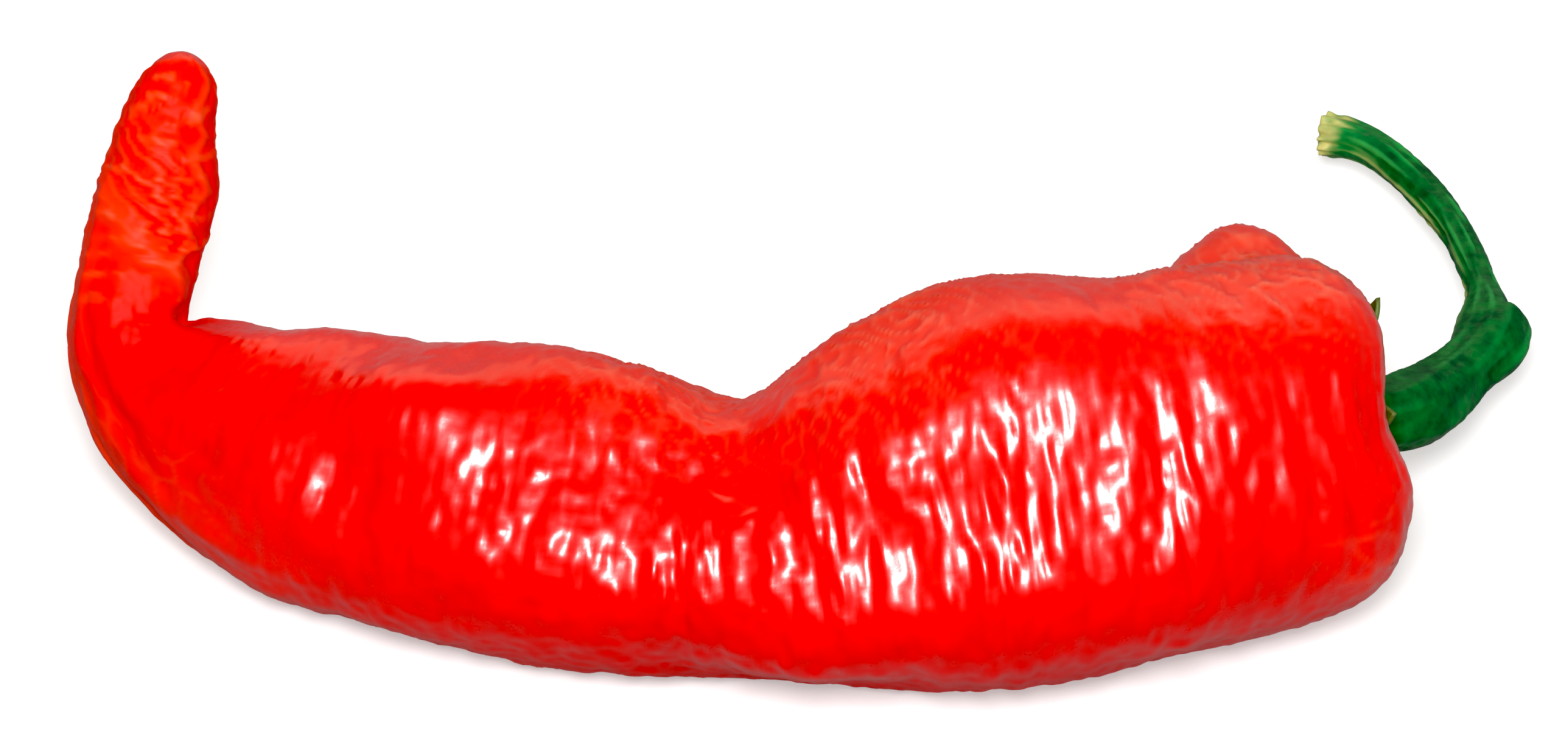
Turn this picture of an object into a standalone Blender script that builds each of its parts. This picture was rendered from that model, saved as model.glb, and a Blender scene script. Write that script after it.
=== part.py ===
"""A large red chilli pepper lying on its side: pod, calyx and stalk, each a closed solid.

The pod's centreline lies close to one plane, the growth plane, that leans back by 45 degrees.
Stations are written in millimetres in that plane: u runs to the right towards the stalk,
v runs up the plane and w stands out from it towards the front. The part's own frame is
metres with +Z up, the surface that the pod rests on at Z = 0, and the origin under the
middle of the whole pepper.
"""

import math

import bpy
import numpy as np

MM = 0.001
LEAN = math.radians(45.0)  # how far the growth plane leans back from the upright
CENTRE_X_MM = -1.8  # where u = 0 lies along X
CENTRE_Y_MM = -42.5  # how far the growth plane's foot is moved along Y

# Pod centreline from the stalk end to the tip, with the section's reach from it each way:
# u, v, w, up (the inside of the crook), down, front, back.
POD_STATIONS_MM = (
    (72.4, 34.5, -3.0, 20.0, 21.2, 23.4, 19.0),
    (59.5, 32.2, 1.2, 21.6, 24.4, 22.5, 22.5),
    (45.5, 29.4, 3.8, 23.2, 25.4, 23.5, 22.0),
    (36.5, 28.0, 5.0, 25.0, 25.8, 23.6, 21.5),
    (27.7, 26.7, 5.6, 25.6, 26.1, 23.5, 20.5),
    (16.2, 24.9, 6.0, 23.6, 25.1, 22.5, 19.5),
    (4.7, 23.1, 5.4, 18.3, 22.6, 20.5, 18.5),
    (-4.8, 22.2, 4.6, 15.4, 20.8, 18.8, 17.5),
    (-11.8, 22.1, 3.9, 18.3, 20.0, 18.0, 17.2),
    (-19.5, 22.2, 3.4, 19.6, 19.8, 18.0, 17.0),
    (-29.8, 23.2, 2.2, 20.3, 19.6, 18.0, 17.0),
    (-41.4, 24.8, -0.1, 19.2, 18.8, 17.4, 16.8),
    (-49.9, 26.6, -2.8, 18.4, 18.2, 16.8, 16.2),
    (-62.5, 30.2, -6.6, 16.0, 17.8, 15.2, 15.0),
    (-72.0, 34.3, -9.2, 13.9, 14.8, 13.0, 12.8),
    (-79.0, 39.1, -10.5, 10.8, 11.1, 10.4, 10.2),
    (-82.9, 45.0, -11.0, 8.4, 8.5, 8.8, 8.4),
    (-82.5, 51.4, -11.2, 7.8, 7.8, 8.2, 7.8),
    (-81.3, 57.6, -11.2, 7.7, 7.8, 7.8, 7.4),
    (-79.5, 64.6, -11.0, 7.6, 7.6, 7.4, 7.0),
    (-78.6, 71.5, -10.6, 6.3, 6.2, 6.2, 6.0),
    (-77.2, 76.4, -10.2, 5.4, 5.2, 5.4, 5.2),
    (-76.2, 81.2, -9.8, 4.5, 4.4, 4.6, 4.6),
)

# The stalk end of the pod: share of the section's reach, and how far in from the end plane.
BASE_PROFILE_MM = (
    (0.0, 5.0), (0.33, 5.0), (0.5, 3.3), (0.64, 0.8), (0.76, 0.0),
    (0.88, 1.2), (0.965, 4.2), (1.0, 9.0),
)
TIP_ROUNDING_MM = 6.0

# Lobes, folds and hollows of the pod wall: distance from the stalk end, angle round the
# section (0 up, 90 front, 180 down, 270 back), reach along, reach round, height.
POD_RELIEF_MM = (
    (5.5, -34.0, 12.0, 27.0, 10.4),
    (24.0, -58.0, 13.0, 26.0, 3.6),
    (44.0, -80.0, 18.0, 28.0, 2.0),
    (7.0, -6.0, 13.0, 11.0, -2.2),
    (12.0, 22.0, 17.0, 18.0, 0.8),
    (0.0, 92.0, 14.0, 20.0, -2.0),
    (0.0, 150.0, 14.0, 34.0, 0.8),
    (0.0, 262.0, 14.0, 20.0, -2.2),
    (34.0, 50.0, 26.0, 20.0, 2.0),
    (38.0, 128.0, 30.0, 22.0, 2.0),
    (62.0, 130.0, 16.0, 22.0, 1.4),
    (85.0, 20.0, 6.0, 30.0, -2.0),
    (78.0, 62.0, 6.5, 26.0, -2.4),
    (90.0, 70.0, 15.0, 24.0, -2.4),
    (98.0, 122.0, 26.0, 24.0, 2.0),
    (118.0, 52.0, 15.0, 20.0, 2.0),
    (116.0, 88.0, 14.0, 16.0, -1.0),
    (40.0, 290.0, 22.0, 20.0, -1.8),
    (166.0, 10.0, 7.0, 40.0, -1.4),
)
# Notches between the lobes of the stalk end, in the same terms, sunk into the end.
END_NOTCHES_MM = (
    (0.0, 90.0, 9.0, 24.0, 3.2),
    (0.0, 268.0, 9.0, 28.0, 2.8),
)

POD_COLUMNS = 48
POD_BASE_RINGS = 13
POD_BODY_RING_MM = 4.6
TIP_RINGS = 5

# Calyx: a thin green star in the hollow of the stalk end.
CALYX_GAP_MM = 0.5
CALYX_THICK_MM = 1.2
CALYX_LOBES = 6
CALYX_INNER_SHARE = 0.50
CALYX_TIP_SHARE = 0.80
CALYX_CURL_MM = 0.9
CALYX_RINGS = 6

# Stalk: it leaves the calyx square to it, then follows this line to the broken end: u, v, w, radius.
STALK_GAP_MM = 0.4
STALK_FOOT_MM = ((0.0, 6.0), (1.6, 5.5), (3.4, 4.9))  # how far out of the calyx, radius
STALK_STATIONS_MM = (
    (79.0, 35.4, -8.0, 5.0),
    (84.4, 38.3, -15.5, 4.4),
    (88.6, 42.3, -21.5, 3.9),
    (90.5, 46.5, -27.0, 3.9),
    (90.4, 50.6, -32.5, 2.2),
    (89.4, 54.2, -37.0, 2.1),
    (87.4, 58.9, -43.0, 2.15),
    (84.3, 63.4, -48.6, 2.4),
    (80.7, 67.2, -53.0, 2.4),
    (77.3, 69.9, -56.2, 2.5),
    (74.0, 71.2, -58.6, 2.7),
    (71.4, 71.6, -60.0, 3.0),
)
# The stub on the elbow: where it rises and is cut off along the stalk, its side, half width and height.
STUB_FROM_MM, STUB_CUT_MM, STUB_SIDE_DEG, STUB_WIDTH_DEG, STUB_HEIGHT_MM = 29.0, 36.5, 10.0, 60.0, 1.7
STUB_RISE_MM, STUB_EDGE_MM = 8.0, 1.2
STALK_COLUMNS = 20
STALK_RING_MM = 1.9


def spline(rows, at):
    """Natural cubic spline through rows, spaced by the distance between their first three values."""
    rows = np.array(rows, float)
    steps = np.linalg.norm(np.diff(rows[:, :3], axis=0), axis=1)
    knots = np.concatenate(([0.0], np.cumsum(steps)))
    count = len(knots)
    system = np.zeros((count, count))
    right = np.zeros(rows.shape)
    system[0, 0] = 1.0
    system[-1, -1] = 1.0
    for i in range(1, count - 1):
        system[i, i - 1 : i + 2] = steps[i - 1], 2 * (steps[i - 1] + steps[i]), steps[i]
        slopes = (rows[i + 1] - rows[i]) / steps[i] - (rows[i] - rows[i - 1]) / steps[i - 1]
        right[i] = 6 * slopes
    bend = np.linalg.solve(system, right)
    at = np.clip(np.asarray(at, float), 0.0, knots[-1])
    i = np.clip(np.searchsorted(knots, at, side="right") - 1, 0, count - 2)
    h = steps[i][:, None]
    a = (knots[i + 1] - at)[:, None] / h
    b = 1.0 - a
    curve = (a**3 - a) * bend[i] + (b**3 - b) * bend[i + 1]
    return a * rows[i] + b * rows[i + 1] + curve * h * h / 6.0


def spline_length(rows):
    """Length of the line through rows, in the same measure that spline() takes."""
    rows = np.array(rows, float)
    return float(np.linalg.norm(np.diff(rows[:, :3], axis=0), axis=1).sum())


def to_frame(points):
    """Growth-plane millimetres (u, v, w) to metres in the part's own frame."""
    u, v, w = points[..., 0], points[..., 1], points[..., 2]
    x = u + CENTRE_X_MM
    y = v * math.cos(LEAN) - w * math.sin(LEAN) + CENTRE_Y_MM
    z = v * math.sin(LEAN) + w * math.cos(LEAN)
    return np.stack((x, y, z), axis=-1) * MM


def frames(rows, at, guide):
    """Centre, remaining columns, and the two section axes at each place along the line."""
    values = spline(rows, at)
    step = 0.25
    tangent = spline(rows, np.asarray(at) + step)[:, :3] - spline(rows, np.asarray(at) - step)[:, :3]
    tangent /= np.linalg.norm(tangent, axis=1)[:, None]
    side = guide - (tangent @ guide)[:, None] * tangent
    side /= np.linalg.norm(side, axis=1)[:, None]
    return values[:, :3], values[:, 3:], np.cross(tangent, side), side


def angle_between(angles, degrees):
    """Shortest signed turn from degrees to each of the angles, in degrees."""
    return (np.degrees(angles) - degrees + 180.0) % 360.0 - 180.0


def relief(along, angles, bumps):
    """Sum of rounded bumps: height * exp(-(distance / reach)^2 - (turn / reach)^2)."""
    total = np.zeros(np.broadcast(along, angles).shape)
    for place, degrees, reach, turn, height in bumps:
        far = ((along - place) / reach) ** 2 + (angle_between(angles, degrees) / turn) ** 2
        total += height * np.exp(-far)
    return total


def stalk_end_axis():
    """Direction that the pod's stalk end faces, in the growth plane's own axes."""
    inner, outer = spline(POD_STATIONS_MM, (4.0, 0.0))[:, :3]
    return (outer - inner) / np.linalg.norm(outer - inner)


def hollow_centre():
    """Middle of the hollow in the stalk end."""
    return spline(POD_STATIONS_MM, (0.0,))[0, :3] - base_rings((0.0,))[0] * stalk_end_axis()


def pod_points(along, share, angles):
    """Pod skin at distances along the centreline, at a share of the section's full reach."""
    centre, reach, up, front = frames(POD_STATIONS_MM, along, np.array((0.0, 0.0, 1.0)))
    cosine, sine = np.cos(angles)[None, :], np.sin(angles)[None, :]
    tall = np.where(cosine >= 0, reach[:, 0:1], reach[:, 1:2])
    deep = np.where(sine >= 0, reach[:, 2:3], reach[:, 3:4])
    swell = relief(along[:, None], angles[None, :], POD_RELIEF_MM)
    radial_up = share[:, None] * cosine * (tall + swell)
    radial_front = share[:, None] * sine * (deep + swell)
    section = radial_up[..., None] * up[:, None] + radial_front[..., None] * front[:, None]
    sunk = share[:, None] * relief(along[:, None], angles[None, :], END_NOTCHES_MM)
    return centre[:, None] + section - sunk[..., None] * stalk_end_axis()


def base_rings(shares):
    """How far in from the end plane the stalk end lies at each share of the section."""
    table = np.array(BASE_PROFILE_MM)
    bend = np.arcsin(np.clip(table[:, 0], 0.0, 1.0))
    fine = np.linspace(0.0, math.pi / 2, 121)
    inward = np.interp(fine, bend, table[:, 1])
    blur = np.hanning(27) / np.hanning(27).sum()
    padded = np.concatenate((inward[:1].repeat(13), inward, 2 * inward[-1] - inward[-14:-1][::-1]))
    return np.interp(np.arcsin(np.clip(shares, 0.0, 1.0)), fine, np.convolve(padded, blur, mode="valid"))


def closed_mesh(name, first_pole, rings, last_pole):
    """A closed skin over rings of points, with a single point at each end."""
    count, columns = rings.shape[:2]
    vertices = [tuple(first_pole)] + [tuple(p) for p in rings.reshape(-1, 3)] + [tuple(last_pole)]
    last = len(vertices) - 1
    faces = []
    for j in range(columns):
        k = (j + 1) % columns
        faces.append((0, 1 + j, 1 + k))
        for i in range(count - 1):
            low, high = 1 + i * columns, 1 + (i + 1) * columns
            faces.append((low + j, high + j, high + k, low + k))
        faces.append((last, 1 + (count - 1) * columns + k, 1 + (count - 1) * columns + j))
    mesh = bpy.data.meshes.new(name)
    mesh.from_pydata(vertices, [], faces)
    mesh.shade_smooth()
    return mesh


def material(name, colour, roughness):
    """A plain finish from its colour and roughness."""
    finish = bpy.data.materials.new(name)
    finish.use_nodes = True
    shader = finish.node_tree.nodes["Principled BSDF"]
    shader.inputs["Base Color"].default_value = (*colour, 1.0)
    shader.inputs["Roughness"].default_value = roughness
    shader.inputs["Metallic"].default_value = 0.0
    finish.diffuse_color = (*colour, 1.0)
    return finish


def place(name, mesh, finish):
    """Adds a mesh to the scene as one named sub-part."""
    mesh.materials.append(finish)
    part = bpy.data.objects.new(name, mesh)
    bpy.context.scene.collection.objects.link(part)
    return part


def make_pod():
    """The pod: hollowed stalk end, lobed shoulders, waist, crook and blunt tip."""
    angles = np.linspace(0.0, 2 * math.pi, POD_COLUMNS, endpoint=False)
    end_share = np.sin(np.linspace(0.0, math.pi / 2, POD_BASE_RINGS + 1)[1:])
    end_along = base_rings(end_share)
    length = spline_length(POD_STATIONS_MM)
    straight = length - TIP_ROUNDING_MM - end_along[-1]
    body_along = end_along[-1] + np.linspace(0.0, straight, round(straight / POD_BODY_RING_MM))[1:]
    turn = np.linspace(0.0, math.pi / 2, TIP_RINGS + 1)[1:-1]
    tip_along = length - TIP_ROUNDING_MM * (1 - np.sin(turn))
    along = np.concatenate((end_along, body_along, tip_along))
    share = np.concatenate((end_share, np.ones(len(body_along)), np.cos(turn)))
    rings = to_frame(pod_points(along, share, angles))
    poles = to_frame(frames(POD_STATIONS_MM, [base_rings([0.0])[0], length], np.array((0.0, 0.0, 1.0)))[0])
    rings[..., 2] = np.maximum(rings[..., 2], 0.0)
    return closed_mesh("pod", poles[0], rings, poles[1])


def make_calyx():
    """The calyx: a thin star that follows the hollow, its points curling off the shoulders."""
    angles = np.linspace(0.0, 2 * math.pi, POD_COLUMNS, endpoint=False)
    phase = (angles * CALYX_LOBES / (2 * math.pi)) % 1.0
    lobe = (1.0 - np.abs(2 * phase - 1.0)) ** 1.3
    rim = CALYX_INNER_SHARE + (CALYX_TIP_SHARE - CALYX_INNER_SHARE) * lobe
    outward = stalk_end_axis()
    rings = []
    for part in np.linspace(0.0, 1.0, CALYX_RINGS + 1)[1:]:
        under = np.array([pod_points(base_rings([part * r]), np.array([part * r]), angles)[0, j]
                          for j, r in enumerate(rim)])
        lift = CALYX_GAP_MM + CALYX_CURL_MM * lobe**3 * part**4
        rings.append(under + lift[:, None] * outward)
    under = np.array(rings)
    thick = np.linspace(1.0, 0.45, CALYX_RINGS)[:, None, None] * CALYX_THICK_MM
    over = under + thick * outward
    centre = hollow_centre()
    top = centre + (CALYX_GAP_MM + CALYX_THICK_MM) * outward
    bottom = centre + CALYX_GAP_MM * outward
    rings = to_frame(np.concatenate((over, under[::-1])))
    return closed_mesh("calyx", to_frame(top), rings, to_frame(bottom))


def step_up(values, start, fade):
    """0 before start and 1 after it, with a smooth turn of the given length between."""
    t = np.clip((values - start) / fade + 0.5, 0.0, 1.0)
    return t * t * (3 - 2 * t)


def stub(along, angles):
    """Height of the stub: it rises slowly on the outside of the elbow and is cut off squarely."""
    rise = step_up(along, STUB_FROM_MM, STUB_RISE_MM) - step_up(along, STUB_CUT_MM, STUB_EDGE_MM)
    turned = (np.degrees(angles) - STUB_SIDE_DEG + 180.0) % 360.0 - 180.0
    return STUB_HEIGHT_MM * rise * np.exp(-((turned / STUB_WIDTH_DEG) ** 4))


def make_stalk():
    """The stalk: thick at the calyx, an elbow with a knob, then a thin arm to the broken end."""
    seat = CALYX_GAP_MM + CALYX_THICK_MM + STALK_GAP_MM
    foot = [(*(hollow_centre() + (seat + out) * stalk_end_axis()), wide) for out, wide in STALK_FOOT_MM]
    line = (*foot, *STALK_STATIONS_MM)
    length = spline_length(line)
    along = np.linspace(0.0, length, round(length / STALK_RING_MM))
    upward = np.array((0.0, math.sin(LEAN), math.cos(LEAN)))
    centre, radius, side, up = frames(line, along, upward)
    angles = np.linspace(0.0, 2 * math.pi, STALK_COLUMNS, endpoint=False)
    reach = radius + stub(along[:, None], angles[None, :])
    ring = np.cos(angles)[None, :, None] * side[:, None] + np.sin(angles)[None, :, None] * up[:, None]
    rings = to_frame(centre[:, None] + reach[..., None] * ring)
    return closed_mesh("stem", to_frame(centre[0]), rings, to_frame(centre[-1]))


def main():
    """Clears the scene and builds the three sub-parts."""
    for part in list(bpy.data.objects):
        bpy.data.objects.remove(part)
    place("pod", make_pod(), material("pod_skin", (0.80, 0.01, 0.008), 0.22))
    place("calyx", make_calyx(), material("calyx_green", (0.03, 0.14, 0.03), 0.55))
    place("stem", make_stalk(), material("stem_green", (0.01, 0.12, 0.03), 0.5))


main()
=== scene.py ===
"""A large red chilli pepper on a pale floor: wrinkled glossy pod, calyx and bent stalk.

Laid out as an add-on: settings, one operator for each piece and for the stage, and a panel.
Lines and sections are written in millimetres in the growth plane, the plane that leans back
by 45 degrees and holds the pod's centreline: u runs to the right towards the stalk, v runs
up the plane and w stands out from it. Finished meshes are in metres in the frame's axes.
"""

import math

import bpy
import numpy as np
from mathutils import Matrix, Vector


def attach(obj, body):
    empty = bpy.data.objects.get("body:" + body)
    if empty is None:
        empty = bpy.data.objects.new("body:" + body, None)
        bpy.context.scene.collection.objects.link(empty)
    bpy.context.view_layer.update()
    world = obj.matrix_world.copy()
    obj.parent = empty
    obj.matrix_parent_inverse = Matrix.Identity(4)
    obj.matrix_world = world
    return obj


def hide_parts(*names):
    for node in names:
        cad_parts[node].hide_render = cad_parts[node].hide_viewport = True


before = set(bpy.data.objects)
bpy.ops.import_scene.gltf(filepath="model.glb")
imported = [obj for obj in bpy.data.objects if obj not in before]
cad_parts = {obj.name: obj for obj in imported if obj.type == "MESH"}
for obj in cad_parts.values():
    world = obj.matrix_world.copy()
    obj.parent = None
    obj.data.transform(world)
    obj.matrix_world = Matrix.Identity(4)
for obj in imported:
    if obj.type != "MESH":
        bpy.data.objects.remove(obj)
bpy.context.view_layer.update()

bl_info = {
    "name": "Chilli Pepper",
    "version": (1, 0, 0),
    "blender": (4, 5, 0),
    "location": "View3D > Sidebar > Chilli",
    "description": "A large red chilli pepper with a wrinkled glossy pod, a calyx and a bent stalk",
    "category": "Add Mesh",
}

MM = 0.001
TAU = 2 * math.pi
LEAN = math.radians(45.0)
CENTRE_X_MM = -1.8
CENTRE_Y_MM = -42.5

# Pod centreline from the stalk end to the tip, with the section's reach from it each way:
# u, v, w, up (the inside of the crook), down, front, back.
POD_STATIONS_MM = (
    (72.4, 34.5, -3.0, 20.0, 21.2, 23.4, 19.0),
    (59.5, 32.2, 1.2, 21.6, 24.4, 22.5, 22.5),
    (45.5, 29.4, 3.8, 23.2, 25.4, 23.5, 22.0),
    (36.5, 28.0, 5.0, 25.0, 25.8, 23.6, 21.5),
    (27.7, 26.7, 5.6, 25.6, 26.1, 23.5, 20.5),
    (16.2, 24.9, 6.0, 23.6, 25.1, 22.5, 19.5),
    (4.7, 23.1, 5.4, 18.3, 22.6, 20.5, 18.5),
    (-4.8, 22.2, 4.6, 15.4, 20.8, 18.8, 17.5),
    (-11.8, 22.1, 3.9, 18.3, 20.0, 18.0, 17.2),
    (-19.5, 22.2, 3.4, 19.6, 19.8, 18.0, 17.0),
    (-29.8, 23.2, 2.2, 20.3, 19.6, 18.0, 17.0),
    (-41.4, 24.8, -0.1, 19.2, 18.8, 17.4, 16.8),
    (-49.9, 26.6, -2.8, 18.4, 18.2, 16.8, 16.2),
    (-62.5, 30.2, -6.6, 16.0, 17.8, 15.2, 15.0),
    (-72.0, 34.3, -9.2, 13.9, 14.8, 13.0, 12.8),
    (-79.0, 39.1, -10.5, 10.8, 11.1, 10.4, 10.2),
    (-82.9, 45.0, -11.0, 8.4, 8.5, 8.8, 8.4),
    (-82.5, 51.4, -11.2, 7.8, 7.8, 8.2, 7.8),
    (-81.3, 57.6, -11.2, 7.7, 7.8, 7.8, 7.4),
    (-79.5, 64.6, -11.0, 7.6, 7.6, 7.4, 7.0),
    (-78.6, 71.5, -10.6, 6.3, 6.2, 6.2, 6.0),
    (-77.2, 76.4, -10.2, 5.4, 5.2, 5.4, 5.2),
    (-76.2, 81.2, -9.8, 4.5, 4.4, 4.6, 4.6),
)

# The stalk end of the pod: share of the section's reach, and how far in from the end plane.
BASE_PROFILE_MM = (
    (0.0, 5.0), (0.33, 5.0), (0.5, 3.3), (0.64, 0.8), (0.76, 0.0),
    (0.88, 1.2), (0.965, 4.2), (1.0, 9.0),
)
PROFILE_STEPS, PROFILE_BLUR = 121, 13
TIP_ROUNDING_MM = 6.0
# How finely the outline is measured along the stalk end, body and tip, and the radius that
# the section has at each end.
END_STEPS, BODY_STEPS, TIP_STEPS = 400, 900, 200
BASE_RADIUS_MM, TIP_RADIUS_MM = 21.0, 4.8

# Lobes, folds and hollows of the pod wall: distance from the stalk end, angle round the
# section (0 up, 90 front, 180 down, 270 back), reach along, reach round, height.
POD_RELIEF_MM = (
    (5.5, -34.0, 12.0, 27.0, 10.4),
    (24.0, -58.0, 13.0, 26.0, 3.6),
    (44.0, -80.0, 18.0, 28.0, 2.0),
    (7.0, -6.0, 13.0, 11.0, -2.2),
    (12.0, 22.0, 17.0, 18.0, 0.8),
    (0.0, 92.0, 14.0, 20.0, -2.0),
    (0.0, 150.0, 14.0, 34.0, 0.8),
    (0.0, 262.0, 14.0, 20.0, -2.2),
    (34.0, 50.0, 26.0, 20.0, 2.0),
    (38.0, 128.0, 30.0, 22.0, 2.0),
    (62.0, 130.0, 16.0, 22.0, 1.4),
    (85.0, 20.0, 6.0, 30.0, -2.0),
    (78.0, 62.0, 6.5, 26.0, -2.4),
    (90.0, 70.0, 15.0, 24.0, -2.4),
    (98.0, 122.0, 26.0, 24.0, 2.0),
    (118.0, 52.0, 15.0, 20.0, 2.0),
    (116.0, 88.0, 14.0, 16.0, -1.0),
    (40.0, 290.0, 22.0, 20.0, -1.8),
    (166.0, 10.0, 7.0, 40.0, -1.4),
)
# Notches between the lobes of the stalk end, in the same terms, sunk into the end.
END_NOTCHES_MM = (
    (0.0, 90.0, 9.0, 24.0, 3.2),
    (0.0, 268.0, 9.0, 28.0, 2.8),
)

# Where each kind of wrinkle or finish is strong: centre along, angle, reach along, reach round
# and strength.
FRONT_GLOSS = ((60.0, 110.0, 62.0, 60.0, 1.0),)
# TOP_SKIN and SHOULDER also place painted orange haze, and pale painted sheen on their crease lines;
# CROOK_SKIN, TOP_SIDE and OUTER_HAZE place pale painted sheen and haze.
TOP_SKIN = (
    (58.0, 20.0, 14.0, 40.0, 1.0),
    (14.0, 12.0, 16.0, 34.0, 0.8),
    (92.0, 10.0, 14.0, 40.0, 0.8),
    (30.0, -60.0, 50.0, 60.0, 0.7),
    (120.0, 250.0, 50.0, 70.0, 0.6),
)
SHOULDER = (
    (12.0, 24.0, 14.0, 30.0, 1.0),
    (4.0, 150.0, 10.0, 30.0, 0.6),
    (6.0, -60.0, 12.0, 40.0, 0.8),
)
CROOK_SKIN = ((158.0, 205.0, 18.0, 75.0, 1.0), (150.0, 120.0, 10.0, 30.0, 0.3))
TOP_SIDE = ((60.0, -10.0, 90.0, 46.0, 1.0),)
UNDER_SIDE = ((70.0, 172.0, 90.0, 34.0, 1.0),)
# Painted haze: pale cream over the outside of the crook.
OUTER_HAZE = ((160.0, 200.0, 26.0, 52.0, 1.0),)
FINGER_FROM_MM, FINGER_FADE_MM = 170.0, 12.0
BEND_FROM_MM, BEND_FADE_MM = 156.0, 26.0
POLE_FADE = 1.25

# Broad relief of the visible skin alone, in the pod wall's terms: the flattened front, and
# the ridges on the outside of the crook.
FLAT_FRONT_MM = ((46.0, 134.0, 34.0, 20.0, 1.3), (44.0, 92.0, 32.0, 22.0, -0.9))
OUTER_RIDGES_MM = (
    (158.0, 142.0, 24.0, 8.0, 0.8),
    (120.0, 160.0, 16.0, 9.0, 0.4),
    (150.0, 115.0, 12.0, 9.0, 0.4),
)

# Ripples of the body's skin: seed, wavelengths along and round, spread of the wavelengths,
# height everywhere, and height added on the glossy front.
BODY_RIPPLES_MM = (
    (1, (22.0, 26.0), 0.5, 0.30, 0.0),
    (2, (1.9, 6.5), 0.4, 0.018, 0.045),
    (3, (5.0, 17.0), 0.45, 0.05, 0.13),
    (9, (3.4, 3.8), 0.5, 0.012, 0.060),
    (10, (1.6, 1.9), 0.4, 0.009, 0.009),
)
# Patterns that creases and folds follow: seed, wavelengths, spread, and turn in radians.
NET = (4, (7.0, 8.0), 0.5)
CLOSE_LINES = (5, (3.2, 6.6), 0.4, 0.45)
SLANTS = (6, (11.0, 4.0), 0.35, -0.5)
FOLDS = (7, (2.3, 12.0), 0.4, 0.16)
CROSS_FOLDS = (13, (1.8, 4.6), 0.45, -0.45)
FINE_FOLDS = (8, (1.3, 3.2), 0.4)
BODY_RADIUS_MM, FINGER_RADIUS_MM = 22.0, 7.6
CREASE_WIDTH, NET_WIDTH = 0.35, 0.22
# Heights of those patterns, on the body and then on the finger.
LINES_MM, TOP_LINES_MM, SLANTS_MM, NET_RIDGE_MM, NET_MM = 0.02, 0.26, 0.26, 0.12, 0.24
FOLDS_MM, CROSS_MM, FINE_MM, FOLD_CREASE_MM = 0.07, 0.02, 0.012, 0.10

# The roll of skin that sweeps from the outside of the crook, 13 mm lower at its inner end,
# with a groove beside it and then a fan of ripples.
ROLL_AT_MM, ROLL_DROP_MM, ROLL_FROM_DEG, ROLL_TO_DEG = 171.0, 13.0, 20.0, 160.0
ROLL_WIDTH_MM, ROLL_WANDER_MM, ROLL_MM = 2.6, 0.5, 0.7
ROLL_FACES_DEG, ROLL_REACH_DEG = 90.0, 72.0
GROOVE_AT_MM, GROOVE_WIDTH_MM, GROOVE_SHARE = 4.2, 1.5, 0.6
FAN_AT_MM, FAN_WIDTH_MM, FAN_RIPPLE_MM, FAN_MM = 7.0, 6.5, 2.3, 0.11
# The zigzag ridge down the inner front of the finger.
ZIGZAG_DEG, ZIGZAG_SWING_DEG, ZIGZAG_WIDTH_DEG = 46.0, 11.0, 10.0
ZIGZAG_PERIOD_MM, ZIGZAG_MM = 7.0, 0.36

# How much each feature of the skin adds to each mark that its finish reads. On the pod the first two
# marks are painted light, pale sheen and orange haze; the last sets only roughness and gloss.
SKIN_MARKS = {
    # On the pod this mark is painted sheen and haze: pale cream on crease lines, slants, fold crests,
    # ridges, the top and the crook's outside. On the calyx and the stalk it is their own cream.
    "pale": {
        "crook": 0.05, "net": 0.06, "fold_crest": 0.13, "haze": 0.14, "zigzag": 0.10, "fan": 0.10,
        "roll": 0.07, "line": 0.20, "slant": 0.17, "top_middle": 0.06,
    },
    # This mark is painted haze: warm orange on the top-facing skin, the shoulder, the finger and its
    # folds, where the top lamp's sheen falls.
    "painted_haze": {"top": 0.35, "shoulder": 0.2, "finger": 0.6, "fold": 0.12},
    "dull": {"crook": 0.8, "bend": 1.0, "top": 0.2, "top_side": 0.6, "under_side": 0.85},
}

CALYX_GAP_MM = 0.5
CALYX_THICK_MM = 1.2
CALYX_INNER_SHARE = 0.50
# Points of the calyx: share of the pod's section that each reaches, and how far it curls off.
CALYX_POINTS = ((0.82, 1.5), (0.76, 0.5), (0.72, 0.3), (0.80, 1.0), (0.78, 0.9), (0.74, 0.5))

CALYX_EDGE_THINNING, CALYX_VEIN_MM, CALYX_RIB_MM, CALYX_RIBS = 0.6, 0.12, 0.06, 31

STALK_GAP_MM = 0.4
STALK_FOOT_MM = ((0.0, 6.0), (1.6, 5.5), (3.4, 4.9))
STALK_STATIONS_MM = (
    (79.0, 35.4, -8.0, 5.0),
    (84.4, 38.3, -15.5, 4.4),
    (88.6, 42.3, -21.5, 3.9),
    (90.5, 46.5, -27.0, 3.9),
    (90.4, 50.6, -32.5, 2.2),
    (89.4, 54.2, -37.0, 2.1),
    (87.4, 58.9, -43.0, 2.15),
    (84.3, 63.4, -48.6, 2.4),
    (80.7, 67.2, -53.0, 2.4),
    (77.3, 69.9, -56.2, 2.5),
    (74.0, 71.2, -58.6, 2.7),
    (71.4, 71.6, -60.0, 3.0),
)
# The stub on the elbow: where it rises and is cut off along the stalk, how softly each way,
# its side, half width and height.
STUB_FROM_MM, STUB_CUT_MM, STUB_RISE_MM, STUB_EDGE_MM = 29.0, 36.5, 8.0, 1.2
STUB_SIDE_DEG, STUB_WIDTH_DEG, STUB_HEIGHT_MM = 10.0, 60.0, 1.7
# Ribs of the stalk: how many, twist in radians per millimetre, start and share of the height.
STALK_RIBS = ((5, 0.03, 0.0, 0.5), (8, -0.02, 1.0, 0.3))
THIN_RIB_MM, THICK_RIB_MM = 0.12, 0.22
ELBOW_AT_MM, ELBOW_FADE_MM = 30.0, 10.0
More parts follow.
